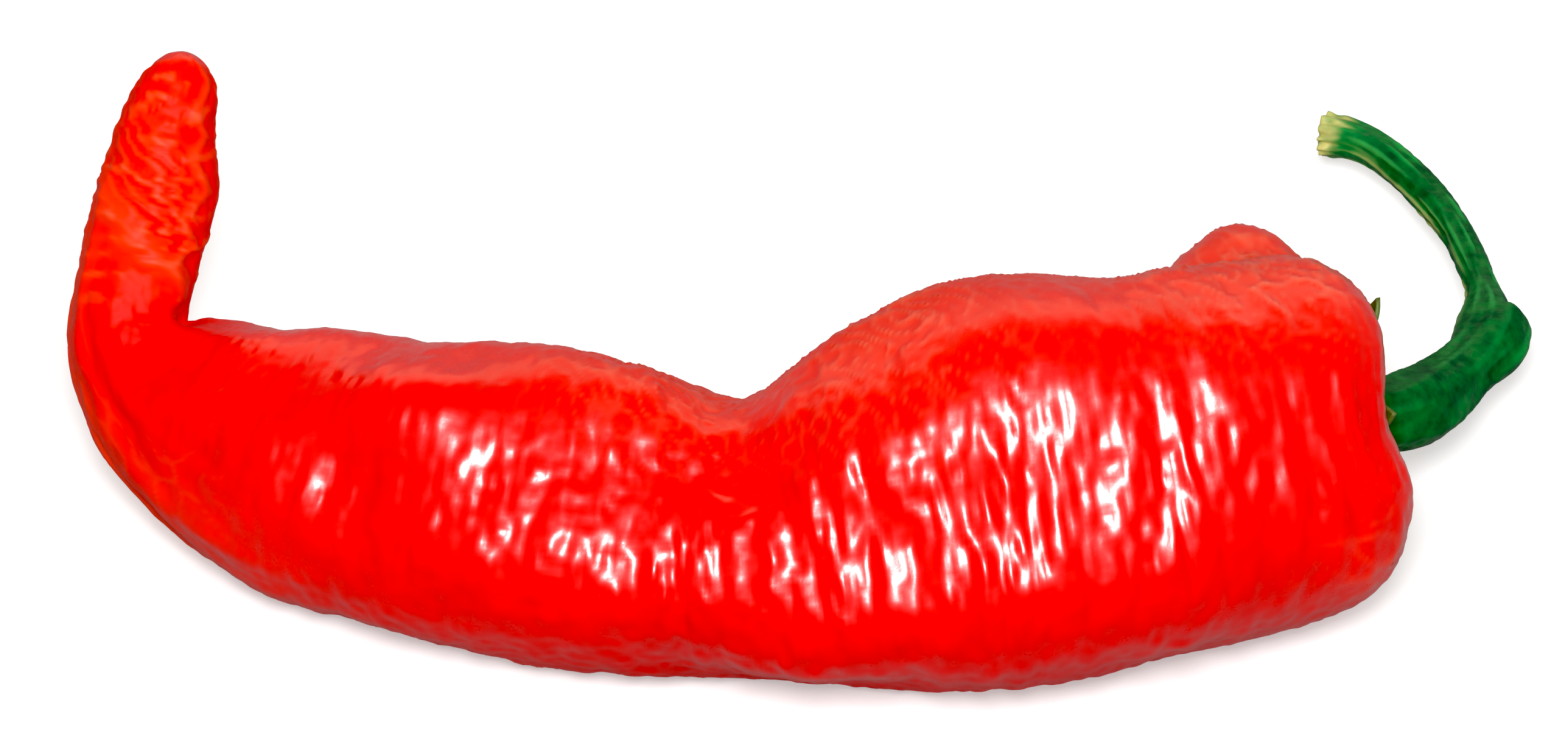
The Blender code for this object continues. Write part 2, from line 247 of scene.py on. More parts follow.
# Bark patterns: seed, wavelengths along and round, and spread of the wavelengths.
GROOVES = (11, (16.0, 1.6), 0.4)
BARK = (12, (2.4, 1.4), 0.5)
STALK_RADIUS_MM, GROOVES_MM, BARK_MM = 3.2, 0.07, 0.03
# The break: where it starts before the stalk's end, how softly, and how rough and drawn in.
TORN_FROM_MM, TORN_FADE_MM, TORN_GROOVES_MM, TORN_BARK_MM, TORN_IN_MM = 1.5, 3.0, 0.20, 0.05, 0.25
TORN_HOLLOW_MM, TORN_FACE_MM = 0.5, 0.35
# The cream line along the inner side of the thin arm.
CREAM_LINE_DEG, CREAM_LINE_WIDTH_DEG = 190.0, 34.0
# Streaks of the stalk: rise with the grooves' height, the height that starts them, the most
# they reach, the share that the thick part keeps, and the dry last stretch.
STREAK_RISE, STREAK_START, STREAK_MOST, THICK_STREAKS = 0.35, 0.1, 0.5, 0.35
DRY_END_MM, DRY_END_STREAK = 9.0, 0.25
# Cream of the break: how far it reaches back, its slant and the angle where that is longest
# in radians, its raggedness and softness, then its strength and how the bark breaks it up.
CREAM_BACK_MM, CREAM_SLANT_MM, CREAM_SLANT_AT, CREAM_RAGGED_MM, CREAM_FADE_MM = 1.6, 1.5, 1.6, 0.5, 2.4
CREAM_STRENGTH, CREAM_BROKEN = 0.7, 0.12

WHITE = (1.0, 1.0, 1.0)
# The painted haze orange and the painted sheen cream of the pod skin.
PAINTED_HAZE_ORANGE = (0.90, 0.030, 0.006)
PAINTED_SHEEN_CREAM = (0.80, 0.36, 0.20)
# The skin where it is glossy and where it is dull: roughness range and roughness, then the
# strength of its gleam and of its waxy coat.
SKIN_GLOSS, SKIN_DULL, COAT_ROUGHNESS = (0.17, 0.30), 0.50, 0.31
SKIN_GLEAM, SKIN_COAT = (0.44, 0.20), (0.72, 0.0)
GREEN_GLOSS, GREEN_GLEAM, GREEN_GRAIN_DEPTH = (0.38, 0.58), 0.35, 0.00006
# Fineness of each finish in lumps per metre: colour, gloss and grain.
SKIN_FINENESS = (110.0, 700.0, 2200.0)
GREEN_FINENESS = (420.0, 900.0, 2400.0)
# Greens of the calyx and the stalk: dark, light, and the cream or brown where dry or torn.
CALYX_GREENS = ((0.010, 0.060, 0.012), (0.030, 0.150, 0.030), (0.30, 0.20, 0.08))
STALK_GREENS = ((0.002, 0.062, 0.022), (0.012, 0.165, 0.034), (0.62, 0.58, 0.20))

# Lamps: distance in metres, azimuth (0 before the pepper, 180 behind it) and elevation in
# degrees, width and height in metres, and colour.
LAMPS = {
    "key": (1.25, 0.0, 52.0, (0.24, 0.24), WHITE),
    "top": (1.30, 180.0, 25.0, (1.8, 0.6), (1.0, 0.80, 0.50)),
}


# ---------------------------------------------------------------- lines and sections

def spline(rows, at):
    """Natural cubic spline through rows, spaced by the distance between their centres.

    Between two rows it is a * first + b * second + ((a^3 - a) * bend + (b^3 - b) * next bend)
    * h^2 / 6, with a and b the shares of the way left and gone, h the distance, and no bend
    at the two ends.
    """
    rows = np.array(rows, float)
    steps = np.linalg.norm(np.diff(rows[:, :3], axis=0), axis=1)
    knots = np.concatenate(([0.0], np.cumsum(steps)))
    count = len(knots)
    system = np.zeros((count, count))
    right = np.zeros(rows.shape)
    system[0, 0] = 1.0
    system[-1, -1] = 1.0
    for i in range(1, count - 1):
        system[i, i - 1 : i + 2] = steps[i - 1], 2 * (steps[i - 1] + steps[i]), steps[i]
        slopes = (rows[i + 1] - rows[i]) / steps[i] - (rows[i] - rows[i - 1]) / steps[i - 1]
        right[i] = 6 * slopes
    bend = np.linalg.solve(system, right)
    at = np.clip(np.asarray(at, float), 0.0, knots[-1])
    i = np.clip(np.searchsorted(knots, at, side="right") - 1, 0, count - 2)
    h = steps[i][:, None]
    a = (knots[i + 1] - at)[:, None] / h
    b = 1.0 - a
    curve = (a**3 - a) * bend[i] + (b**3 - b) * bend[i + 1]
    return a * rows[i] + b * rows[i + 1] + curve * h * h / 6.0


def spline_length(rows):
    """Length of the line through rows, in the same measure that spline() takes."""
    rows = np.array(rows, float)
    return float(np.linalg.norm(np.diff(rows[:, :3], axis=0), axis=1).sum())


def to_frame(points):
    """Growth-plane millimetres to the frame's metres.

    The plane leans back by LEAN: y = v * cos - w * sin and z = v * sin + w * cos.
    """
    u, v, w = points[..., 0], points[..., 1], points[..., 2]
    x = u + CENTRE_X_MM
    y = v * math.cos(LEAN) - w * math.sin(LEAN) + CENTRE_Y_MM
    z = v * math.sin(LEAN) + w * math.cos(LEAN)
    return np.stack((x, y, z), axis=-1) * MM


def frames(rows, at, guide):
    """Centre, remaining columns, and the two section axes at each place along the line."""
    values = spline(rows, at)
    step = 0.25
    at = np.asarray(at)
    tangent = spline(rows, at + step)[:, :3] - spline(rows, at - step)[:, :3]
    tangent /= np.linalg.norm(tangent, axis=1)[:, None]
    side = guide - (tangent @ guide)[:, None] * tangent
    side /= np.linalg.norm(side, axis=1)[:, None]
    return values[:, :3], values[:, 3:], np.cross(tangent, side), side


def turned_from(angles, degrees):
    """Degrees from a side to each angle in radians, between -180 and 180."""
    return (np.degrees(angles) - degrees + 180.0) % 360.0 - 180.0


def bell(values, reach):
    """A rounded ridge where the values are zero: exp(-(value / reach)^2)."""
    return np.exp(-((values / reach) ** 2))


def relief(along, angles, bumps):
    """Sum of rounded bumps: height * exp(-(distance / reach)^2 - (turn / reach)^2)."""
    total = np.zeros(np.broadcast(along, angles).shape)
    for place, degrees, reach, turn, height in bumps:
        total += height * bell(along - place, reach) * bell(turned_from(angles, degrees), turn)
    return total


def base_rings(shares):
    """How far in from the end plane the stalk end lies at each share of the section.

    The profile is read along arcsin(share), which goes evenly round the rim, and its corners
    are rounded by a moving average in a bell-shaped window.
    """
    table = np.array(BASE_PROFILE_MM)
    bend = np.arcsin(np.clip(table[:, 0], 0.0, 1.0))
    fine = np.linspace(0.0, math.pi / 2, PROFILE_STEPS)
    inward = np.interp(fine, bend, table[:, 1])
    window = np.hanning(2 * PROFILE_BLUR + 1)
    before = inward[:1].repeat(PROFILE_BLUR)
    beyond = 2 * inward[-1] - inward[-PROFILE_BLUR - 1 : -1][::-1]
    padded = np.concatenate((before, inward, beyond))
    smooth = np.convolve(padded, window / window.sum(), mode="valid")
    return np.interp(np.arcsin(np.clip(shares, 0.0, 1.0)), fine, smooth)


def stalk_end_axis():
    """Direction that the pod's stalk end faces, in the growth plane's own axes."""
    inner, outer = spline(POD_STATIONS_MM, (4.0, 0.0))[:, :3]
    return (outer - inner) / np.linalg.norm(outer - inner)


def hollow_centre():
    """Middle of the hollow in the stalk end."""
    return spline(POD_STATIONS_MM, (0.0,))[0, :3] - base_rings((0.0,))[0] * stalk_end_axis()


def pod_points(along, share, angles):
    """Smooth pod skin: centreline + share * (cos(angle) * tall * up + sin(angle) * deep * front).

    The three are spread over one grid. Tall and deep are the section's reach plus the relief,
    and the notches are sunk into the stalk end along its axis.
    """
    along, share, angles = np.broadcast_arrays(along, share, angles)
    line = frames(POD_STATIONS_MM, along.ravel(), np.array((0.0, 0.0, 1.0)))
    centre, reach, up, front = (part.reshape(*along.shape, -1) for part in line)
    cosine, sine = np.cos(angles), np.sin(angles)
    swell = relief(along, angles, POD_RELIEF_MM)
    tall = np.where(cosine >= 0, reach[..., 0], reach[..., 1]) + swell
    deep = np.where(sine >= 0, reach[..., 2], reach[..., 3]) + swell
    section = (share * cosine * tall)[..., None] * up + (share * sine * deep)[..., None] * front
    sunk = share * relief(along, angles, END_NOTCHES_MM)
    return centre + section - sunk[..., None] * stalk_end_axis()


def pod_rings(count):
    """Places along, shares of the section and distances over the skin of evenly spaced rings."""
    length = spline_length(POD_STATIONS_MM)
    phase = np.linspace(0.0, math.pi / 2, END_STEPS)
    end_share = np.sin(phase)
    end_along = base_rings(end_share)
    body = np.linspace(end_along[-1], length - TIP_ROUNDING_MM, BODY_STEPS)[1:]
    turn = np.linspace(0.0, math.pi / 2, TIP_STEPS)[1:]
    along = np.concatenate((end_along, body, length - TIP_ROUNDING_MM * (1 - np.sin(turn))))
    share = np.concatenate((end_share, np.ones(len(body)), np.cos(turn)))
    width = np.where(along < length / 2, BASE_RADIUS_MM, TIP_RADIUS_MM)
    steps = np.hypot(np.diff(along), np.diff(share) * width[1:])
    skin = np.concatenate(([0.0], np.cumsum(steps)))
    even = np.linspace(0.0, skin[-1], count + 2)
    return np.interp(even, skin, along), np.interp(even, skin, share), even


# ---------------------------------------------------------------- grids and patterns

def band_noise(shape, size, seed, waves, width, turn=0.0):
    """Random ripples on a closed grid: white noise kept only near one wavelength each way.

    The filter is exp(-((r - 1) / width)^2), where r is the length of the frequency vector
    after it is turned and stretched by the two wavelengths. The result has spread 1.
    """
    white = np.random.default_rng(seed).standard_normal(shape)
    first = np.fft.fftfreq(shape[0], size[0] / shape[0])[:, None]
    second = np.fft.fftfreq(shape[1], size[1] / shape[1])[None, :]
    cosine, sine = math.cos(turn), math.sin(turn)
    lengthwise = (first * cosine + second * sine) * waves[0]
    crosswise = (second * cosine - first * sine) * waves[1]
    kept = bell(np.hypot(lengthwise, crosswise) - 1.0, width)
    field = np.fft.ifft2(np.fft.fft2(white) * kept).real
    return field / field.std()


def normals(points):
    """Unit normals of a grid whose second direction closes on itself."""
    along = np.gradient(points, axis=0)
    around = (np.roll(points, -1, axis=1) - np.roll(points, 1, axis=1)) / 2
    normal = np.cross(along, around)
    return normal / np.linalg.norm(normal, axis=2)[..., None].clip(1e-9)


def step_up(values, start, fade):
    """0 before start and 1 after it, with a smooth turn of the given length between."""
    t = np.clip((values - start) / fade + 0.5, 0.0, 1.0)
    return t * t * (3 - 2 * t)


def closed_skin(name, poles, rings, marks):
    """Mesh of a ring grid closed by a point at each end, with one value per vertex for each mark."""
    count, columns = rings.shape[:2]
    vertices = np.concatenate((poles[:1], rings.reshape(-1, 3), poles[1:]))
    last = len(vertices) - 1
    j = np.arange(columns)
    k = (j + 1) % columns
    low = 1 + columns * np.arange(count - 1)[:, None]
    quads = np.stack((low + j, low + columns + j, low + columns + k, low + k), axis=-1)
    quads = quads.reshape(-1, 4)
    end = 1 + (count - 1) * columns
    caps = np.concatenate((
        np.stack((np.zeros(columns, int), 1 + j, 1 + k), axis=-1),
        np.stack((np.full(columns, last), end + k, end + j), axis=-1),
    ))
    loops = np.concatenate((quads.ravel(), caps.ravel())).astype(np.int32)
    sizes = np.concatenate((np.full(len(quads), 4), np.full(len(caps), 3)))
    starts = np.concatenate(([0], np.cumsum(sizes)[:-1])).astype(np.int32)
    mesh = bpy.data.meshes.new(name)
    mesh.vertices.add(len(vertices))
    mesh.vertices.foreach_set("co", vertices.astype(np.float32).ravel())
    mesh.loops.add(len(loops))
    mesh.loops.foreach_set("vertex_index", loops)
    mesh.polygons.add(len(sizes))
    mesh.polygons.foreach_set("loop_start", starts)
    mesh.update(calc_edges=True)
    mesh.validate()
    mesh.shade_smooth()
    for label, values in marks.items():
        ends = np.array((values[0].mean(), values[-1].mean()))
        data = np.concatenate((ends[:1], values.ravel(), ends[1:])).astype(np.float32)
        mesh.attributes.new(label, "FLOAT", "POINT").data.foreach_set("value", data)
    return mesh


def add_piece(name, mesh, finish, node):
    """Puts a finished mesh in the scene as the piece that stands for one CAD node."""
    mesh.materials.append(finish)
    piece = bpy.data.objects.new(name, mesh)
    bpy.context.scene.collection.objects.link(piece)
    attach(piece, "root")
    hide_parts(node)
    return piece


# ---------------------------------------------------------------- finishes

class Finish:
    """A material under construction: short calls that add nodes and join them."""

    def __init__(self, name):
        self.material = bpy.data.materials.new(name)
        self.material.use_nodes = True
        self.tree = self.material.node_tree
        self.shader = self.tree.nodes["Principled BSDF"]

    def node(self, kind, **values):
        made = self.tree.nodes.new(kind)
        for key, value in values.items():
            setattr(made, key, value)
        return made

    def link(self, source, target):
        """Joins a socket to a socket, or to the shader's socket of a given name."""
        if isinstance(target, str):
            target = self.shader.inputs[target]
        self.tree.links.new(source, target)

    def noise(self, scale, detail=3.0):
        """Noise on Object coordinates, with scale in lumps per metre."""
        made = self.node("ShaderNodeTexNoise")
        made.inputs["Scale"].default_value = scale
        made.inputs["Detail"].default_value = detail
        made.inputs["Roughness"].default_value = 0.55
        self.link(self.node("ShaderNodeTexCoord").outputs["Object"], made.inputs["Vector"])
        return made.outputs["Fac"]

    def attribute(self, name):
        return self.node("ShaderNodeAttribute", attribute_name=name).outputs["Fac"]

    def ramp(self, value, first, last):
        """Colours spread over a value between two stops, each a place and a colour."""
        made = self.node("ShaderNodeValToRGB")
        for mark, (place, colour) in zip(made.color_ramp.elements, (first, last)):
            mark.position = place
            mark.color = (*colour, 1.0)
        self.link(value, made.inputs["Fac"])
        return made.outputs["Color"]

    def spread(self, value, start, end, low=0.0, high=1.0):
        """Carries a value from the range low to high over to the range start to end."""
        made = self.node("ShaderNodeMapRange")
        levels = {"From Min": low, "From Max": high, "To Min": start, "To Max": end}
        for name, level in levels.items():
            made.inputs[name].default_value = level
        self.link(value, made.inputs["Value"])
        return made.outputs["Result"]

    def mix(self, share, first, second):
        """Mixes two colours, each a socket or a plain colour, by the share of the second."""
        made = self.node("ShaderNodeMix", data_type="RGBA")
        for name, value in (("Factor", share), ("A", first), ("B", second)):
            slot = next(s for s in made.inputs if s.name == name and s.enabled)
            if isinstance(value, bpy.types.NodeSocket):
                self.link(value, slot)
            else:
                slot.default_value = (*value, 1.0)
        return next(s for s in made.outputs if s.enabled)

    def grain(self, scale, height):
        """The finest bumps of the surface, with scale in lumps per metre and height in metres."""
        made = self.node("ShaderNodeBump")
        made.inputs["Strength"].default_value = 1.0
        made.inputs["Distance"].default_value = height
        self.link(self.noise(scale), made.inputs["Height"])
        self.link(made.outputs["Normal"], "Normal")


def grey(level):
    return (level, level, level)


def pod_finish(settings):
    """Waxy red skin: deep red with faint mottling, painted orange haze and pale painted sheen, tight
    gloss.
    """
    finish = Finish("pod_skin_wax")
    colour_lumps, gloss_lumps, grain_lumps = SKIN_FINENESS
    tight, loose = SKIN_GLOSS
    red = tuple(settings.colour)
    deep_red = (red[0] * 0.86, red[1], red[2])
    dull = finish.attribute("dull")
    mottle = finish.ramp(finish.noise(colour_lumps), (0.3, deep_red), (0.7, red))
    # Painted haze: warm orange over the top-facing skin, the shoulder and the finger.
    hazed = finish.mix(finish.attribute("painted_haze"), mottle, PAINTED_HAZE_ORANGE)
    # Painted sheen: pale cream on crease lines, fold crests, ridges, the top and the crook's outside.
    finish.link(finish.mix(finish.attribute("pale"), hazed, PAINTED_SHEEN_CREAM), "Base Color")
    gloss = finish.ramp(finish.noise(gloss_lumps, 2.0), (0.35, grey(tight)), (0.75, grey(loose)))
    finish.link(finish.mix(dull, gloss, grey(SKIN_DULL)), "Roughness")
    finish.link(finish.spread(dull, *SKIN_GLEAM), "Specular IOR Level")
    finish.link(finish.spread(dull, *SKIN_COAT), "Coat Weight")
    finish.shader.inputs["Coat Roughness"].default_value = COAT_ROUGHNESS
    finish.shader.inputs["IOR"].default_value = 1.45
    finish.grain(grain_lumps, settings.grain_depth)
    return finish.material


def green_finish(name, dark, light, cream):
    """Green plant tissue: dark and light green in lengthwise streaks, cream where it is torn."""
    finish = Finish(name)
    colour_lumps, gloss_lumps, grain_lumps = GREEN_FINENESS
    tight, loose = GREEN_GLOSS
    bright = tuple(min(1.0, c * 2.4) for c in light)
    mottle = finish.ramp(finish.noise(colour_lumps, 4.0), (0.32, dark), (0.70, light))
    streaked = finish.mix(finish.attribute("streak"), mottle, bright)
    finish.link(finish.mix(finish.attribute("pale"), streaked, cream), "Base Color")
    gloss = finish.ramp(finish.noise(gloss_lumps, 2.0), (0.3, grey(tight)), (0.7, grey(loose)))
    finish.link(gloss, "Roughness")
    finish.shader.inputs["Specular IOR Level"].default_value = GREEN_GLEAM
    finish.grain(grain_lumps, GREEN_GRAIN_DEPTH)
    return finish.material


def floor_finish(settings):
    """Matt pale paper, lit a little from within so that it looks white, and fully so farther out.

    The glow is the setting up to 0.2 m from the middle and rises to 1 at 0.9 m. Only the view
    sees it, and the paper throws back less light than it shows.
    """
    finish = Finish("floor_paper")
    colour = tuple(settings.floor_colour)
    dimmer = tuple(c * settings.floor_bounce for c in colour)
    seen = finish.node("ShaderNodeLightPath").outputs["Is Camera Ray"]
    toothed = tuple(c * 0.985 for c in colour)
    paper = finish.ramp(finish.noise(60.0), (0.3, toothed), (0.7, colour))
    finish.link(finish.mix(seen, dimmer, paper), "Base Color")
    finish.shader.inputs["Roughness"].default_value = 0.9
    finish.shader.inputs["Specular IOR Level"].default_value = 0.1
    away = finish.node("ShaderNodeVectorMath", operation="LENGTH")
    finish.link(finish.node("ShaderNodeTexCoord").outputs["Object"], away.inputs[0])
    level = finish.node("ShaderNodeMath", operation="MULTIPLY")
    finish.link(seen, level.inputs[0])
    glow = finish.spread(away.outputs["Value"], settings.floor_glow, 1.0, 0.2, 0.9)
    finish.link(glow, level.inputs[1])
    finish.shader.inputs["Emission Color"].default_value = (*WHITE, 1.0)
    finish.link(level.outputs[0], "Emission Strength")
    return finish.material


# ---------------------------------------------------------------- pieces

def crook_shapes(s, a, folds):
    """The roll of skin at the crook, the fan of ripples beyond it and the finger's zigzag ridge.

    The roll is a bell of the distance from a line that runs down across the crook, less a
    groove beside it. The fan is a cosine of that distance that fades both ways. The zigzag is
    a bell round an angle that swings to and fro in straight legs along the finger.
    """
    turned = ROLL_FACES_DEG + turned_from(a, ROLL_FACES_DEG)
    down = ROLL_DROP_MM * (turned - ROLL_FROM_DEG) / (ROLL_TO_DEG - ROLL_FROM_DEG)
    off = s - down - ROLL_AT_MM + ROLL_WANDER_MM * folds
    facing = np.exp(-(((turned - ROLL_FACES_DEG) / ROLL_REACH_DEG) ** 4))
    groove = GROOVE_SHARE * bell(off - GROOVE_AT_MM, GROOVE_WIDTH_MM)
    roll = (bell(off, ROLL_WIDTH_MM) - groove) * facing
    fan = np.cos(TAU * off / FAN_RIPPLE_MM) * bell(off - FAN_AT_MM, FAN_WIDTH_MM) * facing
    swing = ZIGZAG_SWING_DEG * (4 * np.abs((s / ZIGZAG_PERIOD_MM) % 1.0 - 0.5) - 1.0)
    return roll, fan, bell(turned - ZIGZAG_DEG - swing, ZIGZAG_WIDTH_DEG)


def pod_detail(along, angles, share, skin_length):
    """Height of the wrinkles over the smooth skin in millimetres, and the marks of the finish, painted
    sheen and haze among them.

    Ripples run round the pod and merge on the glossy front, close-set creases cover the top
    and back, a net of ridges covers the outside of the crook, folds cross the finger. Each is
    its height times its pattern times the mask of where it is strong, and all fade out at the
    poles. A mark is the sum of the features that SKIN_MARKS lists for it.
    """
    s, a = along[:, None], angles[None, :]
    shape = (len(along), len(angles))
    round_body = (skin_length, BODY_RADIUS_MM * TAU)
    round_finger = (skin_length, FINGER_RADIUS_MM * TAU)
    front, top_side = relief(s, a, FRONT_GLOSS), relief(s, a, TOP_SIDE)
    top, shoulder, crook = (
        np.clip(relief(s, a, mask), 0.0, 1.0) for mask in (TOP_SKIN, SHOULDER, CROOK_SKIN)
    )
    finger = step_up(s, FINGER_FROM_MM, FINGER_FADE_MM) + 0 * a
    body = 1.0 - finger
    net = band_noise(shape, round_body, *NET)
    net_ridge = bell(net, NET_WIDTH)
    lines = bell(band_noise(shape, round_body, *CLOSE_LINES), CREASE_WIDTH)
    slants = bell(band_noise(shape, round_body, *SLANTS), CREASE_WIDTH)
    folds = band_noise(shape, round_finger, *FOLDS)
    cross = band_noise(shape, round_finger, *CROSS_FOLDS)
    fine = band_noise(shape, round_finger, *FINE_FOLDS)
    roll, fan, zigzag = crook_shapes(s, a, folds)
    zigzag = zigzag * finger

    height = relief(s, a, FLAT_FRONT_MM + OUTER_RIDGES_MM)
    for seed, waves, width, everywhere, in_front in BODY_RIPPLES_MM:
        ripple = band_noise(shape, round_body, seed, waves, width)
        height += body * (everywhere + in_front * front) * ripple
    height += body * (LINES_MM + TOP_LINES_MM * top) * lines
    height += body * SLANTS_MM * shoulder * slants
    height += body * crook * (NET_RIDGE_MM * net_ridge + NET_MM * net)
    height += finger * (FOLDS_MM * folds + CROSS_MM * cross + FINE_MM * fine)
    height -= finger * FOLD_CREASE_MM * bell(folds - 0.2 * cross, CREASE_WIDTH)
    height += ROLL_MM * roll + FAN_MM * fan + ZIGZAG_MM * zigzag

    # Several features also feed painted light: pale sheen on lines, slants, crests, ridges and the
    # top, and orange haze on the top, the shoulder and the finger.
    features = {
        "top": top,
        "top_side": top_side,
        "top_middle": top_side**2,
        "shoulder": shoulder,
        "under_side": relief(s, a, UNDER_SIDE),
        "haze": relief(s, a, OUTER_HAZE),
        "line": body * top * lines,
        "slant": body * shoulder * slants,
        "crook": crook,
        "net": crook * net_ridge,
        "bend": step_up(s, BEND_FROM_MM, BEND_FADE_MM),
        "roll": np.clip(roll, 0.0, 1.0),
        "fan": np.clip(fan, 0.0, 1.0),
        "finger": finger,
        "fold": finger * np.clip(folds, -1.0, 1.0),
        "fold_crest": finger * np.clip(folds + 0.3 * cross - 0.9, 0.0, 1.0),
        "zigzag": zigzag**2,
    }
    fade = np.clip(share * POLE_FADE, 0.0, 1.0)[:, None] ** 2
    marks = {}
    for mark, parts in SKIN_MARKS.items():
        total = sum(weight * features[name] for name, weight in parts.items())
        marks[mark] = np.clip(total, 0.0, 1.0) * fade
    return height * fade, marks


def make_pod(settings):
    """The pod skin: the smooth skin moved out along its normal by the wrinkle height."""
    angles = np.linspace(0.0, TAU, settings.columns, endpoint=False)
    along, share, skin = pod_rings(settings.rings)
    ends = spline(POD_STATIONS_MM, along[[0, -1]])[:, :3]
    along, share = along[1:-1], share[1:-1]
    smooth = pod_points(along[:, None], share[:, None], angles)
    height, marks = pod_detail(along, angles, share, skin[-1])
    height *= settings.wrinkle_depth / MM
    rings = to_frame(smooth + normals(smooth) * height[..., None])
    rings[..., 2] = np.maximum(rings[..., 2], 0.0)
    mesh = closed_skin("pod_skin", to_frame(ends), rings, marks)
    return add_piece("pod_skin", mesh, pod_finish(settings), "pod")


def make_calyx(settings):
    """The calyx: a star laid in the hollow, its points lifting off the shoulders.

    Each point's lobe is (1 - |2 * phase - 1|)^2, and the rim runs from the inner share out to
    the point's share by it. The lift is gap + curl * lobe^3 * out^4, with out 0 in the middle
    and 1 at the rim, and the leaf is thinner towards the rim.
    """
    angles = np.linspace(0.0, TAU, settings.columns, endpoint=False)
    turn = angles * len(CALYX_POINTS) / TAU
    phase = turn % 1.0
    tip_share, curl = np.array(CALYX_POINTS)[np.floor(turn).astype(int) % len(CALYX_POINTS)].T
    lobe = (1.0 - np.abs(2 * phase - 1.0)) ** 2
    out = np.linspace(0.0, 1.0, settings.rings + 1)[1:, None]
    shares = out * (CALYX_INNER_SHARE + (tip_share - CALYX_INNER_SHARE) * lobe)
    outward = stalk_end_axis()
    lift = CALYX_GAP_MM + curl * lobe**3 * out**4
    under = pod_points(base_rings(shares), shares, angles) + lift[..., None] * outward
    vein = CALYX_RIB_MM * np.cos(angles * CALYX_RIBS) - CALYX_VEIN_MM * np.cos(phase * TAU) * out
    thick = CALYX_THICK_MM * (1.0 - CALYX_EDGE_THINNING * out**2) + vein
    over = under + thick[..., None] * outward
    lifts = np.array((CALYX_GAP_MM + CALYX_THICK_MM, CALYX_GAP_MM))
    poles = hollow_centre() + lifts[:, None] * outward
    rings = np.concatenate((over, under[::-1]))
    sides = {"pale": 0.35 * out**6 + 0 * lift, "streak": 1.5 * vein}
    marks = {name: np.concatenate((side, side[::-1])) for name, side in sides.items()}
    mesh = closed_skin("calyx_star", to_frame(poles), to_frame(rings), marks)
    finish = green_finish("calyx_leaf", *CALYX_GREENS)
    return add_piece("calyx_star", mesh, finish, "calyx")


def stub(along, angles):
    """Height of the stub: it rises slowly on the outside of the elbow and is cut off squarely."""
    rise = step_up(along, STUB_FROM_MM, STUB_RISE_MM) - step_up(along, STUB_CUT_MM, STUB_EDGE_MM)
    side = np.exp(-((turned_from(angles, STUB_SIDE_DEG) / STUB_WIDTH_DEG) ** 4))
    return STUB_HEIGHT_MM * rise * side


def stalk_marks(s, a, length, thick, grooves, bark):
    """Streaks along the grooves, and cream on the break and along the thin arm's inner side."""
    arm = 1.0 - thick
    streak = np.clip(STREAK_RISE * grooves - STREAK_START, 0.0, STREAK_MOST)
    streak = streak * (THICK_STREAKS + (1.0 - THICK_STREAKS) * arm)
    streak += DRY_END_STREAK * step_up(s, length - DRY_END_MM, DRY_END_MM)
    slant = CREAM_SLANT_MM * np.cos(a - CREAM_SLANT_AT)
    edge = length - CREAM_BACK_MM - slant + CREAM_RAGGED_MM * grooves
    pale = step_up(s, edge, CREAM_FADE_MM) * (CREAM_STRENGTH + CREAM_BROKEN * bark)
    inner = bell(turned_from(a, CREAM_LINE_DEG), CREAM_LINE_WIDTH_DEG)
    pale += arm * inner * np.clip(0.5 * grooves, 0.0, 0.5)
    return {"streak": streak, "pale": np.clip(pale, 0.0, 1.0)}


def make_stalk(settings):
    """The stalk: a ribbed tube, thick to the elbow's stub and thin beyond it, torn at its end.

    Its reach is the station's radius + the stub + ribs, grooves and bark round the section,
    and each end is closed by two smaller rings and a point.
    """
    seat = CALYX_GAP_MM + CALYX_THICK_MM + STALK_GAP_MM
    outward = stalk_end_axis()
    foot = [(*(hollow_centre() + (seat + out) * outward), wide) for out, wide in STALK_FOOT_MM]
    line = (*foot, *STALK_STATIONS_MM)
    length = spline_length(line)
    along = np.linspace(0.0, length, settings.rings)
    upward = np.array((0.0, math.sin(LEAN), math.cos(LEAN)))
    centre, radius, side, up = frames(line, along, upward)
    angles = np.linspace(0.0, TAU, settings.columns, endpoint=False)
    s, a = along[:, None], angles[None, :]
    skin = ((len(along), len(angles)), (length, STALK_RADIUS_MM * TAU))
    grooves, bark = band_noise(*skin, *GROOVES), band_noise(*skin, *BARK)
    ribs = sum(share * np.cos(n * a + twist * s + start) for n, twist, start, share in STALK_RIBS)
    thick = 1.0 - step_up(s, ELBOW_AT_MM, ELBOW_FADE_MM)
    torn = step_up(s, length - TORN_FROM_MM, TORN_FADE_MM)
    reach = radius + stub(s, a) + (THIN_RIB_MM + THICK_RIB_MM * thick) * ribs
    reach += GROOVES_MM * grooves + BARK_MM * bark
    reach += torn * (TORN_GROOVES_MM * grooves + TORN_BARK_MM * bark - TORN_IN_MM)
    ring = np.cos(a)[..., None] * side[:, None] + np.sin(a)[..., None] * up[:, None]
    rings = centre[:, None] + reach[..., None] * ring
    caps = np.array((0.66, 0.33))[:, None, None]
    first = centre[0] + (rings[0] - centre[0]) * caps[::-1]
    end_axis = (centre[-1] - centre[-2]) / np.linalg.norm(centre[-1] - centre[-2])
    last = centre[-1] + (rings[-1] - centre[-1]) * caps
    last += end_axis * (TORN_FACE_MM * bark[-2:, :, None])
    poles = np.array((centre[0], centre[-1] - TORN_HOLLOW_MM * end_axis))
    spread = stalk_marks(s, a, length, thick, grooves, bark)
    marks = {name: np.pad(values, ((2, 2), (0, 0)), "edge") for name, values in spread.items()}
    rings = to_frame(np.concatenate((first, rings, last)))
    mesh = closed_skin("stalk_bent", to_frame(poles), rings, marks)
    finish = green_finish("stalk_bark", *STALK_GREENS)
    return add_piece("stalk_bent", mesh, finish, "stem")


# ---------------------------------------------------------------- stage

